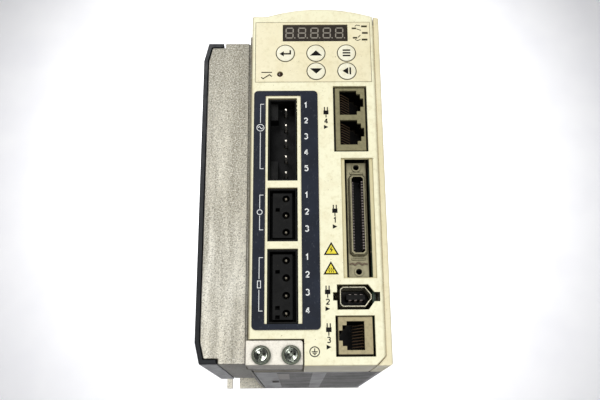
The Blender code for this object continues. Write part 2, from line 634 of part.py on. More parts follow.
def io_connector():
    flange_y, shell_front = (5.0, 5.8), 2.0
    shell = box("io_connector_shell", IO_FLANGE[0], flange_y, IO_FLANGE[1], STEEL)
    join(shell, prism("io_hood", chamfered(IO_SHELL, 1.2), shell_front, flange_y[1] - 0.1, "Y"))
    middle = sum(IO_FLANGE[0]) / 2
    latches, screw_holes = [], []
    for i, z in enumerate(IO_LATCH_Z):
        latches.append(cylinder(f"io_latch_{i}", middle, z, 1.3, 4.0, 7.0, "Y", segments=16))
        screw_holes.append(cylinder(f"io_screw_{i}", middle, z, 1.0, 5.0, 12.0, "Y", segments=12))
    opening = inset(chamfered(IO_SHELL, 1.2), 0.5)
    cut(shell, prism("io_mouth", opening, 1.0, 7.0, "Y"), *latches)
    body = box("io_connector_insert", IO_FLANGE[0], (6.1, 20.0), (38.4, 89.6), BLACK)
    nose = inset(chamfered(IO_SHELL, 1.2), 0.8)
    join(body, prism("io_nose", nose, shell_front + 0.3, 6.6, "Y"))
    cut(body, box("io_slot", IO_SLOT[0], (1.0, 10.0), IO_SLOT[1]), *screw_holes)


def chamfered(ranges, cut_size):
    """A rectangle with its four corners cut off."""
    (left, right), (low, high) = ranges
    c = cut_size
    return [
        (left + c, low), (right - c, low), (right, low + c), (right, high - c),
        (right - c, high), (left + c, high), (left, high - c), (left, low + c),
    ]


def encoder_connector():
    shell = prism("encoder_shell", ENCODER_SHELL, 0.8, 14.0, "Y", STEEL)
    cut(shell, prism("encoder_hollow", inset(ENCODER_SHELL, 0.5), 0.0, 15.0, "Y"))
    insert = prism("encoder_insert", inset(ENCODER_SHELL, 0.8), 9.0, 13.8, "Y", BLACK)
    join(insert, box("encoder_tongue", (41.4, 49.4), (2.6, 10.0), (27.6, 29.8)))


def terminal_label():
    label = prism("terminal_label", rounded(LABEL_X, LABEL_Z, LABEL_CORNER), -0.45, -0.2, "Y", NAVY)
    hole_x = (HEADER_X[0] - 1.1, HEADER_X[1] + 1.7)
    hole_z = (HEADERS["braking"][0], HEADERS["mains"][1] + 1.1)
    cut(label, box("label_hole", hole_x, (-2.0, 1.0), hole_z))


def power_electronics():
    board_y = (HEADER_BACK + 0.5, 170.0)
    box("power_board", POWER_BOARD_X, board_y, (14.0, 155.0), BOARD)
    control_y, control_z = (7.0, 160.0), (8.0, 156.0)
    box("control_board", CONTROL_BOARD_X, control_y, control_z, BOARD)
    box("thermal_pad", (0.0, 0.6), (60.0, 126.0), (58.0, 104.0), GREY)
    box("power_module", (0.9, 5.6), (61.0, 125.0), (59.0, 103.0), BLACK)
    stand = POWER_BOARD_X[1] + GAP
    for i, z in enumerate((128.0, 94.0)):
        cylinder(f"capacitor_{i + 1}", 148.0, z, 15.0, stand, stand + 40.0, "X", SLEEVE, segments=28)
    box("transformer", (stand, stand + 26.0), (60.0, 92.0), (112.0, 140.0), BLACK)
    box("braking_resistor", (stand, stand + 15.0), (104.0, 166.0), (40.0, 66.0), ALUMINIUM)
    box("relay", (stand, stand + 15.7), (40.0, 69.0), (84.0, 97.0), BLACK)
    ring("filter_choke", 60.0, 60.0, 7.0, 14.0, stand, stand + 12.0, "X", 24, BLACK)
    centre = [(36.0, 10.3), (44.0, 10.3), (47.5, 13.0), (50.0, 20.0), (51.4, 32.0)]
    thick = 0.6
    back = [(x - thick * 0.7, y + thick) for x, y in reversed(centre)]
    prism("link_cable", centre + back, 134.0, 147.0, "Z", GREY)


def main():
    for old in list(bpy.data.objects):
        bpy.data.objects.remove(old)
    front_cover()
    housing()
    heat_sink()
    fan_shroud()
    fan_frame()
    fan_rotor()
    screws()
    keypad()
    headers()
    connectors()
    terminal_label()
    power_electronics()


main()
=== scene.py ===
"""Looks of a cabinet-mounted servo drive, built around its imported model."""

import math

import bmesh
import bpy
from mathutils import Matrix, Vector


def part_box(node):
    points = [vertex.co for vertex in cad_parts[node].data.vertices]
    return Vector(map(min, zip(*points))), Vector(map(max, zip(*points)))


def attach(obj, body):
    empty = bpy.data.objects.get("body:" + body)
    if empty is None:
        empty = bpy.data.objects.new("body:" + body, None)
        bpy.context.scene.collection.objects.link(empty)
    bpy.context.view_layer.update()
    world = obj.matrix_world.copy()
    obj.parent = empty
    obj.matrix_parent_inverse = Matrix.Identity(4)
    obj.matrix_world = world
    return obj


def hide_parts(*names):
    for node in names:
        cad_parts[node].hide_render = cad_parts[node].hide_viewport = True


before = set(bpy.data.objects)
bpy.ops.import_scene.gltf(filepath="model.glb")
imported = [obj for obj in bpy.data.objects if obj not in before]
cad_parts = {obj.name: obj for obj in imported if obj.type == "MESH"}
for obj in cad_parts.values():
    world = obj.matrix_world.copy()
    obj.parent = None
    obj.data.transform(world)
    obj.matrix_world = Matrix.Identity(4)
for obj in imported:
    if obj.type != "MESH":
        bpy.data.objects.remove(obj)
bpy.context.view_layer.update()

MM = 0.001
DRIVE = "drive"
COVER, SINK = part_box("front_cover"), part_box("heat_sink")
CORNER = Vector((COVER[0].x, COVER[0].y, SINK[0].z))  # lower left front corner of the case

SHARP = math.radians(25)  # edges that turn more than this get rounded
PRINT = 0.04  # thickness of printed marks
LUG_BACK = 17.0  # the casting's lug is in front of this, the strip beside the cover behind it

# Where the printed marks and small parts sit, in millimetres from CORNER
KEY_COLUMNS, KEY_ROWS = (15.6, 29.9, 44.2), (143.2, 133.9)
PINS = {"mains": 5, "motor": 3, "braking": 4}
TOP_NUMBERS = {"mains": 116.54, "motor": 73.52, "braking": 45.68}  # height of each socket's first number
PIN_PITCH = 7.62


def at(x, y, z):
    """A point given in millimetres from the case's lower left front corner, in the frame's metres."""
    return CORNER + Vector((x, y, z)) * MM


def local(point):
    """The millimetres that at() takes, from a point in the frame."""
    return (point - CORNER) / MM


def extent(node):
    """A CAD node's lowest and highest corners, in the same millimetres."""
    return [local(corner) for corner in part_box(node)]


def link(name, data):
    """A new object in the scene."""
    made = bpy.data.objects.new(name, data)
    bpy.context.scene.collection.objects.link(made)
    return made


# ---- materials


def srgb(rgb):
    """A linear colour from 8-bit display values."""
    parts = [v / 255 for v in rgb]
    return [v / 12.92 if v <= 0.04045 else ((v + 0.055) / 1.055) ** 2.4 for v in parts] + [1.0]


def darker(rgb, share):
    """A display colour at a share of its brightness."""
    return [int(v * share) for v in rgb]


class Finish:
    """A material, with short calls for the nodes that the finishes share.

    Sizes are in millimetres, and colours are 8-bit display values.
    """

    def __init__(self, name, colour, roughness, metallic=0.0, **constants):
        self.material = bpy.data.materials.new(name)
        self.material.use_nodes = True
        self.tree = self.material.node_tree
        self.shader = self.tree.nodes["Principled BSDF"]
        base = self.add("ShaderNodeRGB")
        base.outputs[0].default_value = srgb(colour)
        self.colour = base.outputs[0]
        self.roughness = roughness
        self.shader.inputs["Metallic"].default_value = metallic
        for socket, value in constants.items():
            self.shader.inputs[socket.replace("_", " ")].default_value = value
        self.place = self.add("ShaderNodeTexCoord").outputs["Object"]
        self.normal = None

    def add(self, kind, **settings):
        node = self.tree.nodes.new(kind)
        for key, value in settings.items():
            setattr(node, key, value)
        return node

    def feed(self, socket, value):
        """Links value to the socket, or sets it where value is a plain number or colour."""
        if isinstance(value, bpy.types.NodeSocket):
            self.tree.links.new(value, socket)
        else:
            socket.default_value = value

    def mapped(self, size, stretch=(1, 1, 1), shift=0.0):
        node = self.add("ShaderNodeMapping")
        self.feed(node.inputs["Vector"], self.place)
        node.inputs["Location"].default_value = (shift, shift * 0.7, -shift)
        node.inputs["Scale"].default_value = [1 / (size * MM * s) for s in stretch]
        return node.outputs[0]

    def noise(self, size, detail=3.0, stretch=(1, 1, 1), shift=0.0, rough=0.55):
        node = self.add("ShaderNodeTexNoise")
        self.feed(node.inputs["Vector"], self.mapped(size, stretch, shift))
        node.inputs["Scale"].default_value = 1.0
        node.inputs["Detail"].default_value = detail
        node.inputs["Roughness"].default_value = rough
        return node.outputs["Fac"]

    def cells(self, size):
        node = self.add("ShaderNodeTexVoronoi")
        self.feed(node.inputs["Vector"], self.mapped(size))
        node.inputs["Scale"].default_value = 1.0
        return node.outputs["Distance"]

    def axis(self, name):
        node = self.add("ShaderNodeSeparateXYZ")
        self.feed(node.inputs[0], self.place)
        return node.outputs[name]

    def span(self, value, low, high, to_low=0.0, to_high=1.0):
        """value scaled from low..high to to_low..to_high, and held there."""
        node = self.add("ShaderNodeMapRange")
        self.feed(node.inputs["Value"], value)
        limits = {"From Min": low, "From Max": high, "To Min": to_low, "To Max": to_high}
        for key, number in limits.items():
            node.inputs[key].default_value = number
        return node.outputs["Result"]

    def ramp(self, axis, low, high, to_low=0.0, to_high=1.0):
        """A coordinate, in millimetres from the case's corner, scaled like a value of span()."""
        start, end = (at(edge, edge, edge)["XYZ".index(axis)] for edge in (low, high))
        return self.span(self.axis(axis), start, end, to_low, to_high)

    def below(self, axis, edge, blur=0.3):
        """1 where the coordinate is under edge and 0 over it."""
        return self.ramp(axis, edge - blur / 2, edge + blur / 2, 1.0, 0.0)

    def band(self, axis, low, high, blur=0.3):
        """1 between two coordinates and 0 outside them."""
        over = self.ramp(axis, low - blur / 2, low + blur / 2)
        return self.times(self.below(axis, high, blur), over)

    def times(self, a, b):
        node = self.add("ShaderNodeMath", operation="MULTIPLY")
        self.feed(node.inputs[0], a)
        self.feed(node.inputs[1], b)
        return node.outputs[0]

    def occlusion(self, distance):
        """1 in tight corners and 0 in the open."""
        node = self.add("ShaderNodeAmbientOcclusion", samples=6)
        node.inputs["Distance"].default_value = distance * MM
        return self.span(node.outputs["AO"], 0.85, 0.35)

    def tint(self, colour, amount, *factors):
        """Moves the finish's colour towards another, by the product of amount and the factors."""
        for factor in factors:
            amount = self.times(amount, factor)
        node = self.add("ShaderNodeMix", data_type="RGBA")
        self.feed(node.inputs["Factor"], amount)
        self.feed(node.inputs[6], self.colour)
        self.feed(node.inputs[7], srgb(colour))
        self.colour = node.outputs[2]

    def bump(self, height, depth, strength):
        """Adds relief from a height of 0 to 1 that stands for depth."""
        node = self.add("ShaderNodeBump")
        node.inputs["Strength"].default_value = strength
        node.inputs["Distance"].default_value = depth * MM
        self.feed(node.inputs["Height"], height)
        if self.normal is not None:
            self.feed(node.inputs["Normal"], self.normal)
        self.normal = node.outputs[0]

    def done(self):
        self.feed(self.shader.inputs["Base Color"], self.colour)
        self.feed(self.shader.inputs["Roughness"], self.roughness)
        if self.normal is not None:
            self.feed(self.shader.inputs["Normal"], self.normal)
        return self.material


def cream_plastic(name, fresh, aged, gloss=0.42):
    """Moulded plastic, yellowed in patches, with a fine skin, specks of dirt and painted shade in its
    corners.
    """
    f = Finish(name, fresh, gloss)
    f.tint(aged, f.span(f.noise(38.0, 2.0), 0.38, 0.72, 0.0, 0.7))
    f.tint((226, 212, 168), f.span(f.noise(7.0, 4.0, shift=3.0), 0.5, 0.8, 0.0, 0.5))
    f.tint((214, 204, 158), f.span(f.noise(1.7, 3.0, shift=1.0), 0.5, 0.8, 0.0, 0.5))
    f.tint((104, 84, 52), f.span(f.noise(1.0, 2.0, shift=9.0), 0.72, 0.78, 0.0, 0.75))
    # painted shade: brown darkening in corners and grooves, where shade falls
    f.tint((128, 104, 62), f.occlusion(1.8), 0.8)
    f.roughness = f.span(f.noise(6.0, 3.0, shift=5.0), 0.3, 0.7, gloss - 0.07, gloss + 0.1)
    f.bump(f.noise(0.42, 2.0), 0.03, 0.35)
    return f


def cover_plastic():
    """The front cover: cream, with painted shade on the walls of its openings, on its underside, along its
    left edge and in the encoder opening's ear.
    """
    f = cream_plastic("cream_cover", (251, 248, 214), (245, 238, 200))
    # painted shade: the walls of the openings are darker tan
    openings = f.times(f.band("X", 3.0, 55.0), f.band("Z", 2.0, 158.0))
    f.tint((196, 184, 136), openings, f.band("Y", 0.55, 2.4), 0.7)
    # painted shade: the wall in the encoder opening's right ear is painted near black
    ear = f.times(f.band("X", 53.0, 55.9, 0.1), f.band("Z", 26.3, 30.8, 0.1))
    f.tint((14, 12, 9), ear, f.band("Y", 0.3, 6.0, 0.1), 0.95)
    # painted shade: the cover's underside is browner
    f.tint((150, 130, 92), f.below("Z", 0.3, 0.5), 0.5)
    # painted shade: the left edge, which faces away from the light, is darker
    f.tint((170, 152, 108), f.below("X", 0.5, 0.6), 0.5)
    return f.done()


def housing_plastic():
    """The rear housing: cream, with painted grey shade on the vented floor behind the front cover, less dark
    in one stretch.
    """
    f = cream_plastic("cream_housing", (238, 229, 192), (222, 211, 166))
    # painted shade: the vented floor and its slot walls are painted grey, darker in random patches and less
    # dark in one stretch
    floor = f.times(f.below("Z", 2.1, 0.2), f.ramp("Y", 35.6, 36.4))
    f.tint((104, 102, 99), floor)
    f.tint((64, 62, 58), floor, f.span(f.noise(14.0, 3.0, shift=8.0), 0.4, 0.7))
    pale = f.times(f.band("X", 11.0, 16.5), f.band("Y", 50.0, 90.0))
    f.tint((168, 162, 156), floor, pale, 0.7)
    return f.done()


def cast_metal():
    """Die-cast aluminium: a grainy, speckled grey with soft upright bands, and a smoother, brighter lug.

    The strip beside the cover has painted shade that deepens upwards, a streak of painted shade, a stretch
    of painted light and painted shade in its groove by the cover. The lug has painted shade along its lower
    and left edges, and the floor behind it has painted shade, as have the casting's corners.
    """
    f = Finish("cast_metal", (242, 236, 218), 0.52, 0.15)
    strip = f.band("Y", LUG_BACK, 24.0)
    # painted shade: the strip darkens towards the top
    f.tint((150, 146, 130), strip, f.ramp("Z", 25.0, 165.0, 0.0, 0.95))
    # painted shade: a soft upright streak
    f.tint((112, 106, 90), strip, f.band("X", -10.6, -7.0, 4.5), 0.5)
    # painted light: a brighter stretch low on the strip
    f.tint((255, 253, 242), strip, f.band("Z", 22.0, 62.0, 24.0), 0.6)
    f.tint((136, 130, 112), strip, f.span(f.noise(6.0, 2.0, (1, 1, 12)), 0.42, 0.62, 0.0, 0.8))
    f.tint((176, 170, 152), f.span(f.noise(16.0, 3.0, shift=3.0), 0.45, 0.7, 0.0, 0.5))
    f.tint((70, 64, 50), f.span(f.noise(0.62, 2.0, rough=0.7), 0.46, 0.74, 0.0, 0.85))
    f.tint((255, 252, 240), f.span(f.noise(0.6, 2.0, shift=7.0, rough=0.7), 0.46, 0.74, 0.0, 0.85))
    # painted shade: the narrow groove between the casting and the cover
    f.tint((112, 106, 84), strip, f.band("X", -1.95, 1.0, 0.1), 0.6)
    # painted shade: the casting's underside behind the lug
    f.tint((78, 72, 60), f.band("Y", 18.5, 176.0), f.below("Z", 2.6, 0.2), 0.75)
    lug = f.below("Y", LUG_BACK)
    f.tint((246, 241, 228), lug, f.span(f.noise(1.4, 3.0, shift=2.0), 0.35, 0.6, 0.95, 0.6))
    # painted shade: dark lines along the lug's lower and left edges
    f.tint((92, 80, 66), lug, f.below("Z", 0.45, 0.3), 0.6)
    f.tint((92, 80, 66), lug, f.band("X", -1.6, -0.85, 0.2), 0.65)
    # painted shade in the casting's corners
    f.tint((48, 43, 34), f.occlusion(2.4), 0.7)
    f.roughness = f.span(f.noise(1.5, 3.0, shift=2.0), 0.3, 0.7, 0.42, 0.66)
    f.bump(f.noise(0.8, 4.0, rough=0.75), 0.2, 0.6)
    f.bump(f.noise(6.0, 1.0, shift=4.0), 0.3, 0.2)
    return f.done()


def black_plastic(name, colour, gloss, grain=0.5, dust=0.16, shine=0.35, deep=None, pale_below=None):
    """Black moulded plastic with a spark-eroded grain and pale dust.

    It has painted shade that blackens it from the depth deep inwards, and a painted reflection that makes it
    paler under pale_below, except at its front edge.
    """
    f = Finish(name, colour, gloss, Specular_IOR_Level=shine)
    f.tint((96, 94, 90), f.span(f.noise(5.0, 4.0), 0.5, 0.85, 0.0, dust))
    f.tint((140, 136, 126), f.span(f.noise(0.7, 2.0, shift=6.0), 0.7, 0.8, 0.0, dust * 1.5))
    if deep is not None:
        # painted shade: blacker into the cavities from the depth deep inwards
        f.tint((2, 2, 2), f.ramp("Y", deep, deep + 3.0, 0.0, 0.9))
    if pale_below is not None:
        # painted reflection: the underside is paler, as if mirroring the floor, except at the front edge
        f.tint((150, 150, 148), f.below("Z", pale_below, 2.0), f.ramp("Y", 22.0, 24.0), 0.3)
    f.roughness = f.span(f.noise(3.0, 3.0, shift=1.0), 0.3, 0.7, gloss - 0.08, gloss + 0.1)
    f.bump(f.noise(grain, 2.0), 0.04, 0.4)
    return f.done()


def plain_metal(name, colour, gloss, metallic=1.0, recess_shade=0.5):
    """Plated metal with small scratches, duller patches and painted shade in its corners and recesses."""
    f = Finish(name, colour, gloss, metallic)
    f.tint(darker(colour, 0.6), f.span(f.noise(1.6, 4.0), 0.45, 0.75, 0.0, 0.35))
    # painted shade: darkening in corners and recesses, by the strength recess_shade
    f.tint((30, 28, 22), f.occlusion(1.0), recess_shade)
    f.roughness = f.span(f.noise(1.1, 3.0, (1, 1, 5), 2.0), 0.3, 0.7, gloss - 0.08, gloss + 0.14)
    f.bump(f.noise(0.35, 2.0, (6, 1, 1), 4.0), 0.01, 0.3)
    return f.done()


def printed(name, colour, wear):
    """Screen-print ink, thin enough in places for its ground to grey it."""
    f = Finish(name, colour, 0.55, Specular_IOR_Level=0.12)
    f.tint((128, 124, 112), f.span(f.noise(0.8, 4.0), 0.5, 0.8, 0.0, wear))
    f.bump(f.noise(0.2, 2.0), 0.01, 0.3)
    return f.done()


def label_film():
    """Satin navy film with dust, fine rubbing marks and painted shade in its corners."""
    f = Finish("label_film", (24, 29, 40), 0.5, Specular_IOR_Level=0.14)
    f.tint((40, 47, 62), f.span(f.noise(14.0, 3.0), 0.4, 0.75, 0.0, 0.6))
    f.tint((104, 110, 116), f.span(f.noise(0.8, 3.0, (1, 1, 2), 5.0), 0.62, 0.8, 0.0, 0.4))
    # painted shade in the film's corners
    f.tint((18, 20, 28), f.occlusion(1.0), 0.4)
    f.roughness = f.span(f.noise(3.0, 3.0), 0.3, 0.7, 0.34, 0.52)
    f.bump(f.noise(0.3, 2.0), 0.015, 0.3)
    return f.done()


def circuit_board(name, colour):
    """Solder mask over a grid of tracks, with bright pads."""
    f = Finish(name, colour, 0.35)
    tracks = f.add("ShaderNodeTexBrick", offset=0.5)
    f.feed(tracks.inputs["Vector"], f.mapped(6.0))
    for key, value in (("Scale", 1.0), ("Mortar Size", 0.05), ("Brick Width", 0.8), ("Row Height", 0.3)):
        tracks.inputs[key].default_value = value
    lighter = [min(255, int(v * 1.5) + 12) for v in colour]
    f.tint(lighter, tracks.outputs["Fac"], 0.8)
    f.tint((196, 190, 160), f.span(f.cells(3.4), 0.16, 0.12, 0.0, 0.85))
    f.bump(tracks.outputs["Fac"], 0.03, 0.5)
    return f.done()


def speckled(name, colour, gloss, size, contrast):
    """A plain moulded or coated surface with fine variation, for the lamp, the digits and parts inside."""
    f = Finish(name, colour, gloss)
    f.tint(darker(colour, 0.55), f.span(f.noise(size, 4.0), 0.45, 0.75, 0.0, contrast))
    f.roughness = f.span(f.noise(size * 3, 3.0), 0.3, 0.7, gloss - 0.07, gloss + 0.1)
    f.bump(f.noise(size * 0.6, 2.0), 0.03, 0.4)
    return f.done()


def jack_plastic(name, colour, node):
    """A moulded jack, with painted shade that deepens into its cavities and sits in its corners, and a
    painted shadow line at its left and lower edges.
    """
    f = Finish(name, colour, 0.6, Specular_IOR_Level=0.1)
    f.tint(darker(colour, 0.6), f.span(f.noise(1.2, 4.0), 0.45, 0.75, 0.0, 0.4))
    # painted shade: near black deeper into the cavities
    f.tint((6, 5, 4), f.ramp("Y", 1.4, 3.0))
    # painted shade in the jack's corners
    f.tint((60, 50, 34), f.occlusion(1.2), 0.6)
    # painted shadow: a dark gap line along the jack's left and lower edges
    low = extent(node)[0]
    for edge in (f.below("X", low.x + 0.5, 0.1), f.below("Z", low.z + 0.4, 0.1)):
        f.tint((14, 11, 8), edge, 0.9)
    f.roughness = f.span(f.noise(3.0, 3.0), 0.3, 0.7, 0.5, 0.68)
    f.bump(f.noise(0.7, 2.0), 0.03, 0.4)
    return f.done()


def dark_window():
    """The tinted film over the display, with faint smears."""
    f = Finish("dark_window", (40, 33, 26), 0.4, Specular_IOR_Level=0.16)
    f.tint((62, 54, 42), f.span(f.noise(5.0, 3.0), 0.4, 0.8, 0.0, 0.5))
    f.roughness = f.span(f.noise(3.0, 4.0, shift=3.0), 0.35, 0.7, 0.34, 0.5)
    f.bump(f.noise(1.2, 2.0), 0.006, 0.3)
    return f.done()


def warning_film():
    """Yellow film of the warning signs, faded in patches."""
    f = Finish("warning_yellow", (242, 226, 40), 0.4)
    f.tint((228, 204, 56), f.span(f.noise(2.2, 3.0), 0.4, 0.75, 0.0, 0.7))
    f.bump(f.noise(0.3, 2.0), 0.01, 0.3)
    return f.done()


CREAM = cover_plastic()
HOUSING = housing_plastic()
FILM = cream_plastic("keypad_film", (244, 236, 200), (238, 227, 184), 0.36).done()
KEYCAP = cream_plastic("key_film", (248, 246, 224), (240, 235, 204), 0.34).done()
CAST = cast_metal()
# pale_below paints a reflection of the floor on the shroud's underside
SHROUD = black_plastic("shroud_plastic", (15, 19, 24), 0.38, dust=0.06, shine=0.28, pale_below=9.0)
BLACK = black_plastic("black_moulding", (15, 15, 15), 0.4, 0.35, 0.1, 0.25)
# the depth 5.0 paints shade into the socket cavities
SOCKET = black_plastic("socket_plastic", (8, 8, 7), 0.5, 0.3, 0.07, 0.13, 5.0)
NAVY = label_film()
WHITE_INK = printed("white_ink", (243, 245, 243), 0.12)
BLACK_INK = printed("black_ink", (8, 8, 7), 0.02)
OLIVE_INK = printed("olive_ink", (62, 57, 38), 0.06)
YELLOW = warning_film()
ZINC = plain_metal("zinc_plate", (176, 182, 172), 0.26, recess_shade=0.9)
TIN = plain_metal("tin_plate", (226, 220, 208), 0.24, metallic=0.8)
DULL_TIN = plain_metal("dull_tin_plate", (120, 114, 100), 0.4, metallic=0.7)
WIRE = plain_metal("jack_wire", (96, 78, 60), 0.4, metallic=0.4, recess_shade=0.3)
SCREW = plain_metal("earth_screw_plate", (150, 156, 145), 0.2, metallic=1.0, recess_shade=1.0)
CONTACT = plain_metal("contact_plate", (134, 124, 120), 0.34, metallic=0.3, recess_shade=0.1)
# the washers' dark colour is partly their own dull olive tone and partly painted shade under the screw heads
WASHER = plain_metal("washer_plate", (92, 98, 86), 0.36, recess_shade=0.9)
SHELL = plain_metal("shell_plate", (146, 140, 112), 0.38, metallic=0.6, recess_shade=0.7)
BRIGHT_SHELL = plain_metal("bright_shell_plate", (216, 211, 186), 0.3, metallic=0.8)
BEIGE = jack_plastic("beige_jack", (182, 170, 134), "comm_jack")
OLIVE = jack_plastic("olive_jack", (142, 136, 104), "can_jack")
WINDOW = dark_window()
SEGMENT = speckled("unlit_segment", (150, 142, 128), 0.4, 0.6, 0.4)
LAMP = speckled("unlit_lamp", (58, 40, 30), 0.2, 0.7, 0.3)
BOARD = circuit_board("board_green", (14, 40, 22))
POWER_BOARD = circuit_board("power_board_green", (30, 84, 48))
SLEEVE = speckled("capacitor_sleeve", (26, 32, 58), 0.3, 2.0, 0.3)
FERRITE = speckled("ferrite_coat", (44, 60, 52), 0.5, 0.8, 0.4)
PAD = speckled("silicone_pad", (120, 124, 126), 0.7, 0.6, 0.3)
RESISTOR = speckled("resistor_body", (190, 184, 162), 0.5, 0.9, 0.4)
RIBBON = speckled("ribbon_cable", (134, 136, 138), 0.5, 1.2, 0.3)
TAPE = speckled("transformer_tape", (196, 160, 44), 0.4, 1.6, 0.3)


# ---- meshes


def piece(name, bm, finish, replaces=(), body=DRIVE, angle=SHARP):
    """A shown object of a bmesh, which rides on a body."""
    bmesh.ops.recalc_face_normals(bm, faces=bm.faces)
    mesh = bpy.data.meshes.new(name)
    bm.to_mesh(mesh)
    bm.free()
    made = link(name, mesh)
    mesh.materials.append(finish)
    mesh.shade_smooth()
    mesh.set_sharp_from_angle(angle=angle)
    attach(made, body)
    if replaces:
        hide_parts(*replaces)
    return made


def soften(made, width, segments=2):
    """Rounds the edges marked with a bevel weight, of which a weight of 1 takes the whole width."""
    bevel = made.modifiers.new("Rounding", "BEVEL")
    bevel.limit_method = "WEIGHT"
    bevel.width = width * MM
    bevel.segments = segments
    bevel.use_clamp_overlap = False
    bevel.loop_slide = False
    level_faces(made)


def level_faces(made):
    """Keeps flat faces evenly shaded, so that only the rounded edges turn the light."""
    normals = made.modifiers.new("Level faces", "WEIGHTED_NORMAL")
    normals.keep_sharp = True


def weigh(bm, rule):
    """Gives each sharp edge the bevel weight that rule makes of its middle, in millimetres."""
    layers = bm.edges.layers.float
    layer = layers.get("bevel_weight_edge") or layers.new("bevel_weight_edge")
    for edge in bm.edges:
        if len(edge.link_faces) == 2 and edge.calc_face_angle() > SHARP:
            edge[layer] = rule(local((edge.verts[0].co + edge.verts[1].co) / 2), edge)


def evenly(middle, edge):
    """Rounds every sharp edge alike."""
    return 1.0


def lengthwise(edge):
    """Whether an edge leads away from the front face."""
    return abs(edge.verts[0].co.y - edge.verts[1].co.y) > 1e-6


def refined(node, name, finish, width=0.3, rule=evenly, body=DRIVE, segments=2, cutter=None):
    """A CAD node's own shape with rounded edges, less a cutter if there is one, shown in its place."""
    bm = bmesh.new()
    bm.from_mesh(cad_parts[node].data)
    bmesh.ops.remove_doubles(bm, verts=bm.verts, dist=1e-7)
    bmesh.ops.dissolve_limit(bm, angle_limit=0.01, verts=bm.verts, edges=bm.edges)
    if cutter is not None:
        take_away(bm, cutter)
    bmesh.ops.connect_verts_concave(bm, faces=[face for face in bm.faces if len(face.verts) > 4])
    weigh(bm, rule)
    made = piece(name, bm, finish, (node,), body, math.radians(50))
    soften(made, width, segments)


def keep(node, finish):
    """Shows a CAD node as it is, in a better finish."""
    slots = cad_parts[node].material_slots
    for each in slots:
        each.material = finish
    if not slots:
        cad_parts[node].data.materials.append(finish)


def slab(bm, faces, y, thickness):
    """Adds flat shapes to bm, as plates from y forwards by thickness. faces are lists of (x, z) points."""
    known = {}

    def vertex(x, z):
        key = (round(x, 4), round(z, 4))
        if key not in known:
            known[key] = bm.verts.new(at(x, y, z))
        return known[key]

    made = [bm.faces.new([vertex(*point) for point in face]) for face in faces]
    grown = bmesh.ops.extrude_face_region(bm, geom=made)
    moved = [v for v in grown["geom"] if isinstance(v, bmesh.types.BMVert)]
    bmesh.ops.translate(bm, verts=moved, vec=(0, -thickness * MM, 0))


def rectangle(x, z):
    return [(x[0], z[0]), (x[1], z[0]), (x[1], z[1]), (x[0], z[1])]


def circle(x, z, radius, segments=40):
    turns = [math.tau * i / segments for i in range(segments)]
    return [(x + radius * math.cos(t), z + radius * math.sin(t)) for t in turns]


def between(inner, outer):
    """The quads between two closed outlines of as many points."""
    count = len(inner)
    return [[inner[i], inner[(i + 1) % count], outer[(i + 1) % count], outer[i]] for i in range(count)]


def offset(points, distance, closed):
    """A line moved sideways by distance, with mitred corners."""
    moved = []
    for i, here in enumerate(points):
        before = points[i - 1] if closed or i else None
        after = points[(i + 1) % len(points)] if closed or i < len(points) - 1 else None
        ways = [Vector(b) - Vector(a) for a, b in ((before, here), (here, after)) if a and b]
        normals = [Vector((-way.y, way.x)).normalized() for way in ways]
        side = normals[0] + normals[-1]
        moved.append(tuple(Vector(here) + side * (2 * distance / side.length_squared)))
    return moved


def stroke(points, width, closed=False):
    """The quads of a line of that width."""
    left, right = (offset(points, side * width / 2, closed) for side in (1, -1))
    last = len(points) if closed else len(points) - 1
    follow = [(i, (i + 1) % len(points)) for i in range(last)]
    return [[left[i], left[j], right[j], right[i]] for i, j in follow]


def marks(name, groups, finish, y=0.0, thickness=PRINT, body=DRIVE):
    """One piece of printed marks. Each group is a list of faces that may share corners."""
    bm = bmesh.new()
    for faces in groups:
        slab(bm, faces, y, thickness)
    piece(name, bm, finish, body=body)


def arc(x, z, width, height, start, end, steps=10):
    """Points of an elliptical arc between two angles in degrees."""
    turns = [math.radians(start + (end - start) * i / steps) for i in range(steps + 1)]
    return [(x + width * math.cos(t), z + height * math.sin(t)) for t in turns]


def numeral(digit):
    """The lines of a numeral that is 1 high, round its own middle."""
    lines = {
        "1": [[(-0.2, 0.27), (0.04, 0.5), (0.04, -0.5)]],
        "2": [arc(0.0, 0.22, 0.28, 0.28, 165, -35) + [(-0.27, -0.45)], [(-0.31, -0.44), (0.31, -0.44)]],
        "3": [arc(-0.02, 0.25, 0.26, 0.24, 150, -85), arc(-0.02, -0.22, 0.29, 0.27, 85, -150)],
        "4": [[(0.12, -0.5), (0.12, 0.5)], [(0.06, 0.42), (-0.27, -0.14)], [(-0.34, -0.22), (0.34, -0.22)]],
        "5": [[(0.27, 0.44), (-0.19, 0.44), (-0.23, 0.02)], arc(-0.01, -0.16, 0.3, 0.33, 138, -150)],
    }
    return lines[digit]


def numbers(name, entries, finish, y, weight):
    """Printed numerals. entries are (digit, x, z, height). weight is a line's width for a height of 1."""
    groups = []
    for text, x, z, height in entries:
        for line in numeral(text):
            groups.append(stroke([(x + a * height, z + b * height) for a, b in line], height * weight))
    marks(name, groups, finish, y)


def brick(bm, x, y, z):
    """Adds a box to bm."""
    matrix = Matrix.Translation(at(sum(x) / 2, sum(y) / 2, sum(z) / 2))
    sides = Vector([high - low for low, high in (x, y, z)]) * MM
    bmesh.ops.create_cube(bm, size=1.0, matrix=matrix @ Matrix.Diagonal((*sides, 1.0)))


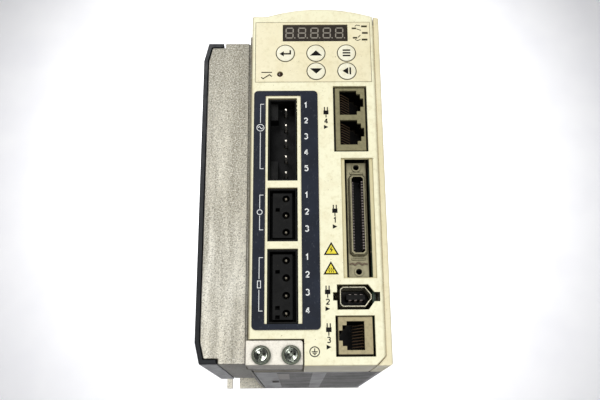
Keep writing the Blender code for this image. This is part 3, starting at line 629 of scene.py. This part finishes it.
def turned(bm, profile, centre, axis="Y", segments=48, closed=False):
    """Adds a solid turned from a profile of (distance along the axis, radius), or a ring where closed."""
    along = {"X": Vector((1, 0, 0)), "Y": Vector((0, 1, 0))}[axis]
    across = Vector((0, 0, 1))
    third = along.cross(across)
    turns = [math.tau * i / segments for i in range(segments)]
    rings = []
    for distance, radius in profile:
        middle = at(*centre) + along * distance * MM
        ring = [middle + (across * math.cos(t) + third * math.sin(t)) * radius * MM for t in turns]
        rings.append([bm.verts.new(point) for point in (ring if radius else [middle])])
    for here, there in zip(rings, rings[1:] + rings[:1] if closed else rings[1:]):
        for i in range(segments):
            j = (i + 1) % segments
            face = [here[i % len(here)], here[j % len(here)], there[j % len(there)], there[i % len(there)]]
            bm.faces.new(list(dict.fromkeys(face)))


def cut(made, cutter_bm):
    """Cuts a bmesh from a piece for good, so that no cutter is left in the scene."""
    mesh = bpy.data.meshes.new("cutter")
    bmesh.ops.recalc_face_normals(cutter_bm, faces=cutter_bm.faces)
    cutter_bm.to_mesh(mesh)
    cutter_bm.free()
    cutter = link("cutter", mesh)
    boolean = made.modifiers.new("Cut", "BOOLEAN")
    boolean.object, boolean.solver = cutter, "EXACT"
    bpy.context.view_layer.update()
    result = bpy.data.meshes.new_from_object(made.evaluated_get(bpy.context.evaluated_depsgraph_get()))
    made.modifiers.remove(boolean)
    result.name = made.data.name
    made.data = result
    bpy.data.objects.remove(cutter)


def take_away(bm, cutter_bm):
    """Cuts one bmesh from another."""
    mesh = bpy.data.meshes.new("blank")
    bm.to_mesh(mesh)
    blank = link("blank", mesh)
    cut(blank, cutter_bm)
    bm.clear()
    bm.from_mesh(blank.data)
    bpy.data.objects.remove(blank)


# ---- case


def cover():
    """The front cover: generous rounding along its outline, a small radius round each opening."""
    high = local(COVER[1])
    near, arch_start = 0.2, high.z - 4.2

    def rule(middle, edge):
        side = middle.x < near or middle.x > high.x - near
        top = middle.z > arch_start
        front = not lengthwise(edge) and middle.y < near
        corner = lengthwise(edge) and top and side
        return 1.0 if (side or top) and (front or corner) else 0.22

    refined("front_cover", "cover_shell", CREAM, 0.9, rule, segments=3)
    middle_x, centre_z, radius, reach = 31.5, 85.92, 79.88, 17.7
    closing = arc(middle_x, centre_z, radius, radius, 90 - reach, 90 + reach, 16)
    marks("cover_arch_back", [[closing]], CREAM, 35.6, 1.6)


def rear_housing():
    """The housing: its rim shows beside the cover, with a well rounded outer corner.

    The keyhole in its floor is lengthened, and a tongue makes the seam between rim and cover shallow.
    """
    right = extent("housing_shell")[1].x

    def rule(middle, edge):
        outer = middle.x > right - 0.1
        if outer and lengthwise(edge) and middle.z < 0.1:
            return 1.0
        return 0.5 if outer else 0.2

    slot = bmesh.new()
    brick(slot, (6.7, 10.5), (98.0, 116.0), (-1.0, 3.0))
    refined("housing_shell", "rear_housing", HOUSING, 1.2, rule, segments=3, cutter=slot)
    tongue = stroke([(53.35, 0.2), (57.22, 4.1), (57.22, 158.5)], 0.36)
    marks("rim_step", [tongue], HOUSING, 34.0, 32.6)


def sink_rounding(middle, edge):
    """Small radii on the casting, smaller on its plate, and a large one at the lug's upper right corner."""
    lug, plate = middle.y < LUG_BACK, middle.y > 170
    if lug and lengthwise(edge) and middle.z > 9 and middle.x > 20:
        return 1.0
    return 0.15 if plate else 0.3


def case():
    cover()
    rear_housing()
    refined("keypad_overlay", "keypad_sheet", FILM, 0.08)
    refined("terminal_label", "terminal_sheet", NAVY, 0.06)
    refined("heat_sink", "sink_casting", CAST, 1.5, sink_rounding, segments=3)
    groove = rectangle((-2.62, -1.94), (2.9, 159.0))
    marks("groove_floor", [[groove]], CAST, 21.3, 0.8)
    refined("fan_shroud", "shroud_shell", SHROUD, 0.35)


# ---- keypad


def key_symbols():
    """Each key's column, row and symbol, as a list of faces round (0, 0)."""
    half, rise = 2.85, 1.35
    up = [(-half, -rise), (half, -rise), (0.0, rise)]
    down = [(x, -z) for x, z in reversed(up)]
    head = [(-2.7, -0.4), (-0.7, -1.75), (-0.7, 0.95)]
    enter = stroke([(2.3, 1.5), (2.3, -0.4), (-0.7, -0.4)], 0.72) + [head]
    mode = [rectangle((-1.8, 1.8), (z - 0.38, z + 0.38)) for z in (-1.4, 0.0, 1.4)]
    shift = [[(0.6, -1.8), (0.6, 1.8), (-2.1, 0.0)], rectangle((1.15, 1.9), (-1.8, 1.8))]
    return {
        "key_enter": (0, 0, enter), "key_up": (1, 0, [up]), "key_mode": (2, 0, mode),
        "key_down": (1, 1, [down]), "key_shift": (2, 1, shift),
    }


def keys():
    """The five caps, each with its symbol, and the printed ring round each, which stays on the sheet."""
    radius, foot = 4.1, 4.5
    for name, (column, row, symbol) in key_symbols().items():
        low, high = extent(name)
        x, z, front = KEY_COLUMNS[column], KEY_ROWS[row], low.y
        bm = bmesh.new()
        dome = [(0.0, 0.0), (0.01, 3.2), (0.03, 3.8), (0.1, 4.02), (0.25, radius)]
        back = [(2.4, radius), (2.4, foot), (3.0, foot), (3.0, 1.4), (high.y, 1.4), (high.y, 0.0)]
        turned(bm, [(front + depth, r) for depth, r in dome] + back, (x, 0, z), "Y", 64)
        piece(f"{name}_cap", bm, KEYCAP, (name,), name)
        faces = [[[(x + a, z + b) for a, b in face]] for face in symbol]
        marks(f"{name}_symbol", faces, BLACK_INK, front + 0.03, 0.05, name)
        ring = between(circle(x, z, 4.22, 64), circle(x, z, 4.5, 64))
        marks(f"{name}_outline", [ring], OLIVE_INK, 0.01, 0.03)


def digit(x, z, height, lean):
    """The seven segments and the point of one digit with its lower left corner at (x, z)."""
    width, bar, gap = height * 0.68, height * 0.095, height * 0.03
    middle, half = height / 2, bar / 2

    def sheared(points):
        return [(x + a + b * lean, z + b) for a, b in points]

    def level(b):
        tip, end = gap + bar * 0.2, gap + bar
        upper = [(tip, b), (end, b + half), (width - end, b + half)]
        return sheared([*upper, (width - tip, b), (width - end, b - half), (end, b - half)])

    def upright(a, low, high):
        low, high = low + gap, high - gap
        start, end = low + bar * 0.7, high - bar * 0.7
        right = [(a, low), (a + half, start), (a + half, end), (a, high)]
        return sheared([*right, (a - half, end), (a - half, start)])

    segments = [level(half), level(middle), level(height - half)]
    for a in (half, width - half):
        segments += [upright(a, half, middle), upright(a, middle, height - half)]
    point = circle(x + width + bar * 1.15, z + half, bar * 0.6, 12)
    return [[segment] for segment in segments] + [[point]]


def display():
    """The window with five unlit digits just behind its film."""
    refined("display_window", "display_glass", WINDOW, 0.1)
    keep("display_module", BLACK)
    low, high = extent("display_window")
    height, count = 5.7, 5
    pitch = (high.x - low.x - 0.7) / count
    groups = []
    for i in range(count):
        groups += digit(low.x + 0.85 + pitch * i, (low.z + high.z - height) / 2, height, 0.04)
    marks("display_digits", groups, SEGMENT, low.y + 0.005, 0.03)


def charge_lamp():
    """The lamp's domed lens and the sign beside it."""
    low, high = extent("charge_lamp")
    lens = bmesh.new()
    dome = [(low.y, 0.0), (low.y + 0.08, 0.6), (low.y + 0.35, 0.95), (low.y + 0.8, 1.1)]
    centre = ((low.x + high.x) / 2, 0, (low.z + high.z) / 2)
    turned(lens, [*dome, (high.y, 1.1), (high.y, 0.0)], centre, "Y", 32)
    piece("charge_lens", lens, LAMP, ("charge_lamp",))
    level = [(4.5, 133.4), (9.4, 133.4)]
    wave = [(4.4, 130.9), (5.3, 130.2), (8.2, 132.2), (9.3, 131.3)]
    marks("charge_symbol", [stroke(level, 0.5), stroke(wave, 0.5)], OLIVE_INK)


def status_legend():
    """Short bars joined by lines, where the display has its words."""
    columns = (
        (2.7, 0.95, ((51.5, 156.8), (51.8, 153.3), (51.6, 149.8))),
        (2.1, 0.85, ((47.0, 155.8), (47.4, 150.8))),
    )
    groups = []
    for width, height, corners in columns:
        groups += [[rectangle((x, x + width), (z, z + height))] for x, z in corners]
    links = (
        [(48.5, 157.3), (49.3, 158.0), (51.0, 157.6)],
        [(49.3, 155.9), (51.3, 155.2)],
        [(49.8, 151.4), (51.0, 152.6)],
        [(48.4, 150.4), (49.6, 149.8), (51.0, 150.36)],
    )
    groups += [stroke(link, 0.36) for link in links]
    marks("status_legend", groups, OLIVE_INK)


def keypad():
    keys()
    display()
    keep("display_board", BOARD)
    charge_lamp()
    status_legend()


# ---- terminals


def terminal_marks():
    """White numbers, brackets and signs on the navy label."""
    y = -0.45
    entries = []
    for name, count in PINS.items():
        top = TOP_NUMBERS[name]
        entries += [(str(i + 1), 24.9, top - PIN_PITCH * i, 2.5) for i in range(count)]
    numbers("terminal_numbers", entries, WHITE_INK, y, 0.19)
    column, reach, line = 4.3, 5.9, 0.27
    groups = []
    brackets = ((117.1, 107.9, 103.2, 85.9), (73.6, 67.4, 64.2, 57.8), (45.5, 36.2, 31.6, 22.6))
    for high, upper, lower, low in brackets:
        groups.append(stroke([(reach, high), (column, high), (column, upper)], line))
        groups.append(stroke([(column, lower), (column, low), (reach, low)], line))
    supply_z, radius, steps = 105.55, 1.75, 10
    groups.append(between(circle(column, supply_z, radius - 0.3), circle(column, supply_z, radius)))
    turns = [i / steps for i in range(steps + 1)]
    wave = [(column - 0.95 + 1.9 * t, supply_z + 0.55 * math.sin(math.tau * t)) for t in turns]
    groups.append(stroke(wave, 0.32))
    motor_z = 65.8
    groups.append(between(circle(column, motor_z, 0.95, 28), circle(column, motor_z, 1.25, 28)))
    groups.append(stroke(rectangle((column - 0.65, column + 0.65), (32.4, 35.4)), 0.3, True))
    marks("terminal_brackets", groups, WHITE_INK, y)


def terminals():
    """The three power sockets. The mains pins are the brightest."""
    terminal_marks()
    for name, count in PINS.items():
        refined(f"{name}_header", f"{name}_socket", SOCKET, 0.14)
        blade = TIN if name == "mains" else DULL_TIN
        for i in range(count):
            refined(f"{name}_pin_{i + 1}", f"{name}_blade_{i + 1}", blade, 0.22)


# ---- connectors


def ribbon(bm, path, z, width, thickness):
    """Adds a bent flat wire. path is its middle line seen from above, as (x, y)."""
    left, right = offset(path, thickness / 2, False), offset(path, -thickness / 2, False)
    outline = left + right[::-1]
    rings = [[bm.verts.new(at(x, y, z + side * width / 2)) for x, y in outline] for side in (-1, 1)]
    for k in range(len(outline)):
        j = (k + 1) % len(outline)
        bm.faces.new((rings[0][k], rings[0][j], rings[1][j], rings[1][k]))
    for ring in rings:
        for k in range(len(path) - 1):
            bm.faces.new((ring[k], ring[k + 1], ring[-k - 2], ring[-k - 1]))


def jack_contacts(name, node, centres, side):
    """Eight bent wires in each cavity of a modular jack, from a wall of it to its middle.

    side is 1 where they start at the left wall, and -1 at the right.
    """
    low, high = extent(node)
    wall = low.x + 2.75 if side > 0 else high.x - 3.75
    bends = ((0.0, 13.6), (0.0, 3.0), (0.5, 2.5), (4.4, 7.2), (4.6, 9.0))
    path = [(wall + side * reach, y) for reach, y in bends]
    count, pitch = 8, 1.27
    bm = bmesh.new()
    for centre in centres:
        for i in range(count):
            ribbon(bm, path, centre + (i - (count - 1) / 2) * pitch, 0.36, 0.22)
    piece(name, bm, WIRE)


def cut_corners(x, z, size):
    """A rectangle with its four corners cut off."""
    (left, right), (low, high) = x, z
    corners = [(left + size, low), (right - size, low), (right, low + size), (right, high - size)]
    return corners + [(right - size, high), (left + size, high), (left, high - size), (left, low + size)]


def io_contacts():
    """Two rows of contacts along the tongue of the 50-pole connector."""
    pitch, count, middle, centre = 1.27, 25, 47.6, 65.45
    bm = bmesh.new()
    for i in range(count):
        z = centre + (i - (count - 1) / 2) * pitch
        for side, front in ((-1, 4.2), (1, 3.0)):
            edge = sorted((middle + side * 2.5, middle + side * 1.7))
            brick(bm, edge, (front, 9.6), (z - 0.23, z + 0.23))
    piece("io_contacts", bm, CONTACT)


def io_connector():
    """The 50-pole connector, with the folds, screw rims and latch wire of its shell."""
    refined("io_connector_shell", "io_shell", SHELL, 0.3)
    refined("io_connector_insert", "io_insert", SOCKET, 0.15)
    mouth = cut_corners((44.35, 50.65), (47.55, 83.35), 1.0)
    slot_edge = cut_corners((45.0, 50.2), (48.1, 82.8), 0.9)
    marks("io_shell_lip", [between(slot_edge, mouth)], SHELL, 2.28, 0.16)
    io_contacts()
    folds = bmesh.new()
    for z in (85.3, 45.7):
        brick(folds, (44.3, 50.5), (4.45, 5.05), (z - 0.4, z + 0.4))
    soften_all(piece("io_shell_folds", folds, SHELL), 0.2)
    screw_x = 47.35
    rims = bmesh.new()
    for z in (40.1, 87.9):
        rim = [(4.3, 1.35), (4.3, 1.95), (5.05, 1.95), (5.05, 1.35)]
        turned(rims, rim, (screw_x, 0, z), segments=32, closed=True)
    piece("io_screw_rims", rims, SHELL)
    latch = bmesh.new()
    half = [(0.6, 0.45), (1.5, -0.45), (2.5, 0.2), (3.9, -0.1)]
    path = [(-a, b) for a, b in reversed(half)] + half
    slab(latch, stroke([(screw_x + a, 43.6 + b) for a, b in path], 0.55), 4.95, 0.5)
    piece("io_latch_wire", latch, WIRE)


def soften_all(made, width):
    """Rounds every sharp edge of a piece."""
    bevel = made.modifiers.new("Rounding", "BEVEL")
    bevel.limit_method, bevel.angle_limit = "ANGLE", SHARP
    bevel.width, bevel.segments = width * MM, 2
    level_faces(made)


def encoder_connector():
    """The 6-pole connector: hood, core and two rows of three contacts."""
    refined("encoder_shell", "encoder_hood", BRIGHT_SHELL, 0.16)
    refined("encoder_insert", "encoder_core", SOCKET, 0.12)
    front = extent("encoder_insert")[0].y + 0.25
    bm = bmesh.new()
    for x in (43.0, 45.4, 47.8):
        for z, side in ((27.6, -1), (29.8, 1)):
            brick(bm, (x - 0.5, x + 0.5), (front, 8.9), sorted((z - side * 0.05, z + side * 0.22)))
    piece("encoder_contacts", bm, CONTACT)


def connectors():
    refined("can_jack", "can_jack_body", OLIVE, 0.18)
    refined("comm_jack", "comm_jack_body", BEIGE, 0.18)
    jack_contacts("can_contacts", "can_jack", (118.5, 103.9), 1)
    jack_contacts("comm_contacts", "comm_jack", (12.4,), -1)
    io_connector()
    encoder_connector()
    legends()


def triangle(x, z, half, height):
    """An upright triangle on its base's middle."""
    return [(x - half, z), (x + half, z), (x, z + height)]


def plug_sign(x, z):
    """A plug above the numeral at (x, z), and under it a small triangle that points right."""
    cord = rectangle((x - 0.22, x + 0.22), (z + 1.75, z + 3.2))
    body = rectangle((x - 1.15, x + 1.15), (z + 3.25, z + 5.2))
    prongs = [rectangle((x + a - 0.24, x + a + 0.24), (z + 5.25, z + 6.9)) for a in (-0.65, 0.65)]
    pointer = [(x - 1.05, z - 3.95), (x + 0.95, z - 2.95), (x - 1.05, z - 1.95)]
    return [[face] for face in (cord, body, *prongs, pointer)]


def earth_sign(x, z):
    """A ring round a stem on three bars of falling width."""
    ring = between(circle(x, z, 1.8), circle(x, z, 2.2))
    stem = stroke([(x, z + 1.4), (x, z + 0.2)], 0.4)
    bars = []
    for half, drop in ((1.25, 0.2), (0.85, 0.78), (0.4, 1.36)):
        bars.append([rectangle((x - half, x + half), (z - drop, z - drop + 0.38))])
    return [ring, stem, *bars]


def warning_signs():
    """Two yellow triangles with black borders, a lightning bolt in the upper, heat lines in the lower."""
    bolt = ([(0.35, 4.1), (-0.75, 2.3), (0.0, 2.3)], [(0.0, 2.55), (0.75, 2.55), (-0.4, 0.9)])
    wave = [(0.0, 0.85), (0.22, 1.3), (-0.12, 1.9), (0.22, 2.5), (0.0, 2.95)]
    heat = [stroke([(a + aside, b) for a, b in wave], 0.3) for aside in (-0.85, 0.0, 0.85)]
    border, fill, glyphs = [], [], []
    for x, z, shapes in ((35.3, 46.6, [[face] for face in bolt]), (35.0, 38.1, heat)):
        outer = triangle(x, z, 3.3, 5.8)
        inner = offset(outer, 0.6, True)
        border.append(between(inner, outer))
        fill.append([inner])
        glyphs += [[[(x + a, z + b) for a, b in face] for face in shape] for shape in shapes]
    marks("warning_borders", border, BLACK_INK)
    marks("warning_fields", fill, YELLOW, 0.0, PRINT * 0.8)
    marks("warning_glyphs", glyphs, BLACK_INK, -PRINT * 0.7)


def legends():
    """Numbers and small signs beside the connectors, with no wording."""
    places = {"4": (34.1, 108.9), "1": (37.2, 62.2), "2": (33.4, 26.4), "3": (33.6, 10.5)}
    entries = [(name, x, z, 2.3) for name, (x, z) in places.items()]
    numbers("connector_numbers", entries, BLACK_INK, 0.0, 0.2)
    groups = []
    for x, z in places.values():
        groups += plug_sign(x, z)
    groups += earth_sign(27.6, 5.7)
    marks("panel_signs", groups, BLACK_INK)
    warning_signs()


# ---- screws and fan


def cross_cutter(x, z, y, reach, half, depth):
    """A cross-shaped recess that narrows towards its bottom."""
    corner = [(half, half), (reach, half), (reach, -half)]
    quarters = ((1, 0), (0, 1), (-1, 0), (0, -1))
    outline = [(a * c + b * d, b * c - a * d) for c, d in quarters for a, b in corner]
    bm = bmesh.new()
    rings = []
    for distance, scale in ((y - 0.6, 1.1), (y + depth, 0.62)):
        rings.append([bm.verts.new(at(x + a * scale, distance, z + b * scale)) for a, b in outline])
        bm.faces.new(rings[-1])
    for k, (a, b) in enumerate(zip(*rings)):
        following = (k + 1) % len(outline)
        bm.faces.new((a, rings[0][following], rings[1][following], b))
    return bm


def ground_screws():
    """Dished pan-head earth screws with a cross and a slot, each with a spring washer and a flat one."""
    for side, lean in (("left", 11.5), ("right", -13.5)):
        low, high = extent(f"ground_screw_{side}")
        x, z = (low.x + high.x) / 2, (low.z + high.z) / 2
        screw = earth_screw(side, x, z, low.y, high.y)
        cut(screw, cross_cutter(x, z, low.y, reach=1.75, half=0.5, depth=1.6))
        cut(screw, slot_cutter(x, z, low.y, lean))
        screw.data.set_sharp_from_angle(angle=SHARP)
        spring_washer(f"spring_washer_{side}", x, z, low.y + 1.8)
        bm = bmesh.new()
        front = [(-0.75, 2.15), (-0.8, 2.25), (-0.8, 3.9), (-0.72, 3.98)]
        turned(bm, front + [(-0.38, 3.98), (-0.3, 3.9), (-0.3, 2.2)], (x, 0, z), closed=True)
        piece(f"flat_washer_{side}", bm, WASHER, (f"ground_washer_{side}",))


def earth_screw(side, x, z, top, tip):
    """The screw before its recesses are cut, from the front of its head to its tip."""
    dish = [(0.5, 0.0), (0.44, 0.9), (0.12, 1.9), (0.0, 2.2)]
    rim = [(0.08, 2.55), (0.4, 2.95), (0.95, 3.2), (1.75, 3.2), (1.75, 1.9)]
    thread = [(2.1 + 0.3 * i, 1.65 if i % 2 else 1.9) for i in range(39)]
    profile = [(top + depth, radius) for depth, radius in dish + rim + thread]
    bm = bmesh.new()
    turned(bm, profile + [(tip, 1.5), (tip, 0.0)], (x, 0, z), "Y", 40)
    return piece(f"earth_screw_{side}", bm, SCREW, (f"ground_screw_{side}",))


def slot_cutter(x, z, top, lean):
    """A bar across the head, leaning by some degrees from upright."""
    bm = bmesh.new()
    brick(bm, (x - 0.5, x + 0.5), (top - 0.6, top + 0.85), (z - 3.6, z + 3.6))
    centre = at(x, 0, z)
    turn = Matrix.Rotation(math.radians(lean), 4, "Y")
    about = Matrix.Translation(centre) @ turn @ Matrix.Translation(-centre)
    bmesh.ops.transform(bm, matrix=about, verts=bm.verts)
    return bm


def spring_washer(name, x, z, y):
    """A split ring of square wire, with its two ends sprung a little apart."""
    bm = bmesh.new()
    inner, outer, thick, rise = 2.15, 3.75, 0.75, 0.45
    split, share, steps = math.radians(100), 0.965, 44
    rings = []
    for i in range(steps + 1):
        turn = split + math.tau * share * i / steps
        start = y + rise * i / steps
        corners = ((inner, start), (outer, start), (outer, start + thick), (inner, start + thick))
        ring = [at(x + r * math.cos(turn), d, z + r * math.sin(turn)) for r, d in corners]
        rings.append([bm.verts.new(point) for point in ring])
    for here, there in zip(rings, rings[1:]):
        for k in range(4):
            j = (k + 1) % 4
            bm.faces.new((here[k], here[j], there[j], there[k]))
    bm.faces.new(rings[0])
    bm.faces.new(rings[-1])
    piece(name, bm, WASHER)


def fan():
    refined("fan_frame", "fan_housing", BLACK, 0.35)
    refined("fan_rotor", "fan_impeller", BLACK, 0.18, body="rotor")
    for kind, count in (("fan", 4), ("housing", 2)):
        for i in range(count):
            refined(f"{kind}_screw_{i + 1}", f"{kind}_bolt_{i + 1}", ZINC, 0.2)


# ---- inside


def inside():
    """The boards and the parts on them, which show only through the vents and openings."""
    finishes = {
        "control_board": BOARD, "power_board": POWER_BOARD, "thermal_pad": PAD, "power_module": BLACK,
        "relay": BLACK, "transformer": TAPE, "braking_resistor": RESISTOR, "filter_choke": FERRITE,
        "link_cable": RIBBON,
    }
    for node, finish in finishes.items():
        keep(node, finish)
    for i in (1, 2):
        low, high = extent(f"capacitor_{i}")
        y, z, radius = (low.y + high.y) / 2, (low.z + high.z) / 2, (high.y - low.y) / 2
        bm = bmesh.new()
        foot = [(0.0, radius), (0.0, 0.4), (2.0, 0.0), (3.0, 0.8), (4.0, 0.0)]
        crown = [(0.9, 0.0), (0.2, 0.5), (0.0, 1.4), (0.3, 2.0), (0.3, radius)]
        profile = [(low.x + depth, radius - narrowing) for depth, narrowing in foot]
        profile += [(high.x - depth, radius - narrowing) for depth, narrowing in crown]
        turned(bm, profile, (0, y, z), "X", 48)
        piece(f"capacitor_can_{i}", bm, SLEEVE, (f"capacitor_{i}",))


# ---- stage


def stage():
    """A pale floor that turns up into a wall far behind, soft lights, and the camera."""
    bm = bmesh.new()
    depth, drop, bend, width = 2.6, 0.9, 0.7, 4.0
    profile = [(-3.0, -drop), (depth - bend, -drop)]
    steps = 12
    for i in range(1, steps + 1):
        turn = math.pi / 2 * i / steps
        profile.append((depth - bend + bend * math.sin(turn), -drop + bend * (1 - math.cos(turn))))
    profile.append((depth, 2.6))
    rows = [[bm.verts.new((side * width, y, z)) for side in (-1, 1)] for y, z in profile]
    for here, there in zip(rows, rows[1:]):
        bm.faces.new((here[0], here[1], there[1], there[0]))
    mesh = bpy.data.meshes.new("studio_floor")
    bm.to_mesh(mesh)
    bm.free()
    mesh.shade_smooth()
    floor = link("studio_floor", mesh)
    paper = Finish("studio_paper", (244, 244, 246), 0.8)
    paper.tint((236, 236, 240), paper.span(paper.noise(220.0, 2.0), 0.4, 0.7, 0.0, 0.6))
    mesh.materials.append(paper.done())
    world = bpy.data.worlds.new("studio_light")
    world.use_nodes = True
    sky = world.node_tree.nodes["Background"].inputs
    sky["Color"].default_value = (0.97, 0.98, 1.0, 1.0)
    sky["Strength"].default_value = 0.1
    bpy.context.scene.world = world
    middle = (COVER[0] + COVER[1]) / 2
    lamp("key_light", middle + Vector((-0.45, -1.2, 0.75)), middle, 0.8, 1.98, 70)
    lamp("fill_light", middle + Vector((0.25, -1.2, -0.28)), middle, 0.6, 1.55, 70)
    lamp("back_light", middle + Vector((-0.6, 0.9, 0.9)), middle, 0.8, 2.0, 120)
    lamp("wall_light", middle + Vector((0.0, 0.9, 1.3)), middle + Vector((0.0, 2.9, 0.9)), 1.6, 42.0, 120)
    camera()


def lamp(name, place, target, size, power, spread):
    """A soft box that faces a point, whose light is held within spread degrees."""
    data = bpy.data.lights.new(name, "AREA")
    data.size, data.energy, data.spread = size, power, math.radians(spread)
    made = link(name, data)
    made.location = place
    made.rotation_euler = (target - place).to_track_quat("-Z", "Y").to_euler()


def camera():
    """Looks at the face from below the drive's lower end, tilted up by about 17 degrees."""
    data = bpy.data.cameras.new("camera")
    data.lens = 44.5
    data.clip_start = 0.01
    made = link("camera", data)
    made.location = at(19.9, -311.7, -24.2)
    made.rotation_euler = [math.radians(a) for a in (107.05, 0.39, -0.26)]
    bpy.context.scene.camera = made
    bpy.context.scene.view_settings.view_transform = "Standard"


case()
keypad()
terminals()
connectors()
ground_screws()
fan()
inside()
stage()
